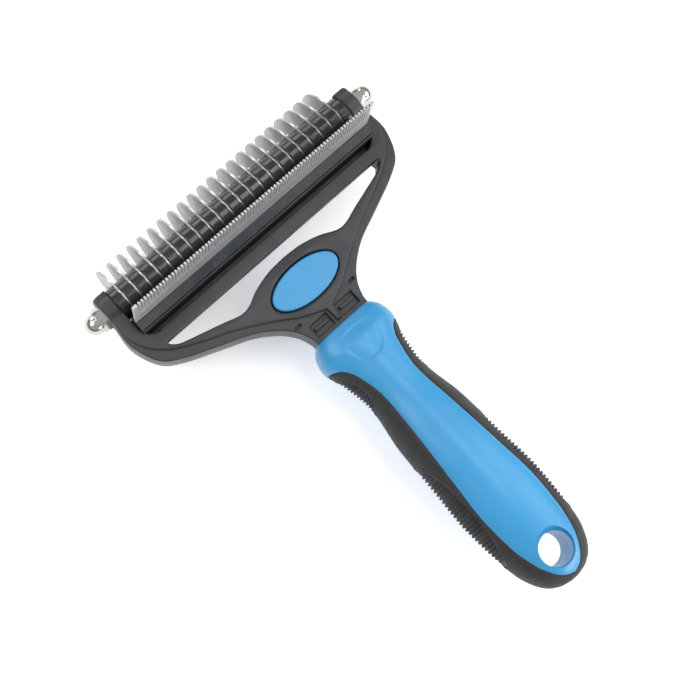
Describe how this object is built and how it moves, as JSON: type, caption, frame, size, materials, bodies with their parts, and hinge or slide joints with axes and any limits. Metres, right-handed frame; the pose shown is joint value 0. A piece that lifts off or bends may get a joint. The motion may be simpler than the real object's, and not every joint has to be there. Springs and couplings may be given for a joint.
{
  "type": "dematting comb",
  "caption": "Two-sided dematting comb: a T head with a row of hooked steel blades on one side and a fine-toothed steel comb on the other, on a two-colour moulded handle with a hang hole.",
  "frame": {"origin": "centre of the hang hole, at half the handle's thickness there", "axes": "+Y runs along the handle from the hang hole to the head, +X runs along the head, +Z is the side that the fine comb's teeth point to, along the hang hole"},
  "size_m": [0.1096, 0.1563, 0.0451],
  "materials": {
    "black_plastic": "satin moulded black",
    "gloss_black": "glossy moulded black",
    "spacer_plastic": "glossy black",
    "blue_plastic": "semi-gloss sky blue",
    "grip_rubber": "matte soft black",
    "blade_steel": "satin stainless",
    "comb_steel": "brushed stainless",
    "nut_steel": "polished plated",
    "steel": "drawn steel"
  },
  "bodies": {
    "root": {"head_frame": "black_plastic", "blade_rod": "steel", "cap_nut_left": "nut_steel", "cap_nut_right": "nut_steel", "fine_comb": "comb_steel", "comb_bar": "gloss_black", "badge_front": "blue_plastic", "badge_back": "blue_plastic", "blade_01": "blade_steel", "blade_02": "blade_steel", "blade_03": "blade_steel", "blade_04": "blade_steel", "blade_05": "blade_steel", "blade_06": "blade_steel", "blade_07": "blade_steel", "blade_08": "blade_steel", "blade_09": "blade_steel", "blade_10": "blade_steel", "blade_11": "blade_steel", "blade_12": "blade_steel", "blade_13": "blade_steel", "blade_14": "blade_steel", "blade_15": "blade_steel", "blade_16": "blade_steel", "blade_17": "blade_steel", "blade_18": "blade_steel", "blade_19": "blade_steel", "blade_20": "blade_steel", "blade_21": "blade_steel", "blade_22": "blade_steel", "spacer_01": "spacer_plastic", "spacer_02": "spacer_plastic", "spacer_03": "spacer_plastic", "spacer_04": "spacer_plastic", "spacer_05": "spacer_plastic", "spacer_06": "spacer_plastic", "spacer_07": "spacer_plastic", "spacer_08": "spacer_plastic", "spacer_09": "spacer_plastic", "spacer_10": "spacer_plastic", "spacer_11": "spacer_plastic", "spacer_12": "spacer_plastic", "spacer_13": "spacer_plastic", "spacer_14": "spacer_plastic", "spacer_15": "spacer_plastic", "spacer_16": "spacer_plastic", "spacer_17": "spacer_plastic", "spacer_18": "spacer_plastic", "spacer_19": "spacer_plastic", "spacer_20": "spacer_plastic", "spacer_21": "spacer_plastic", "end_spacer_left": "spacer_plastic", "end_spacer_right": "spacer_plastic", "handle_core": "blue_plastic", "handle_grip": "grip_rubber"}
  },
  "joints": []
}
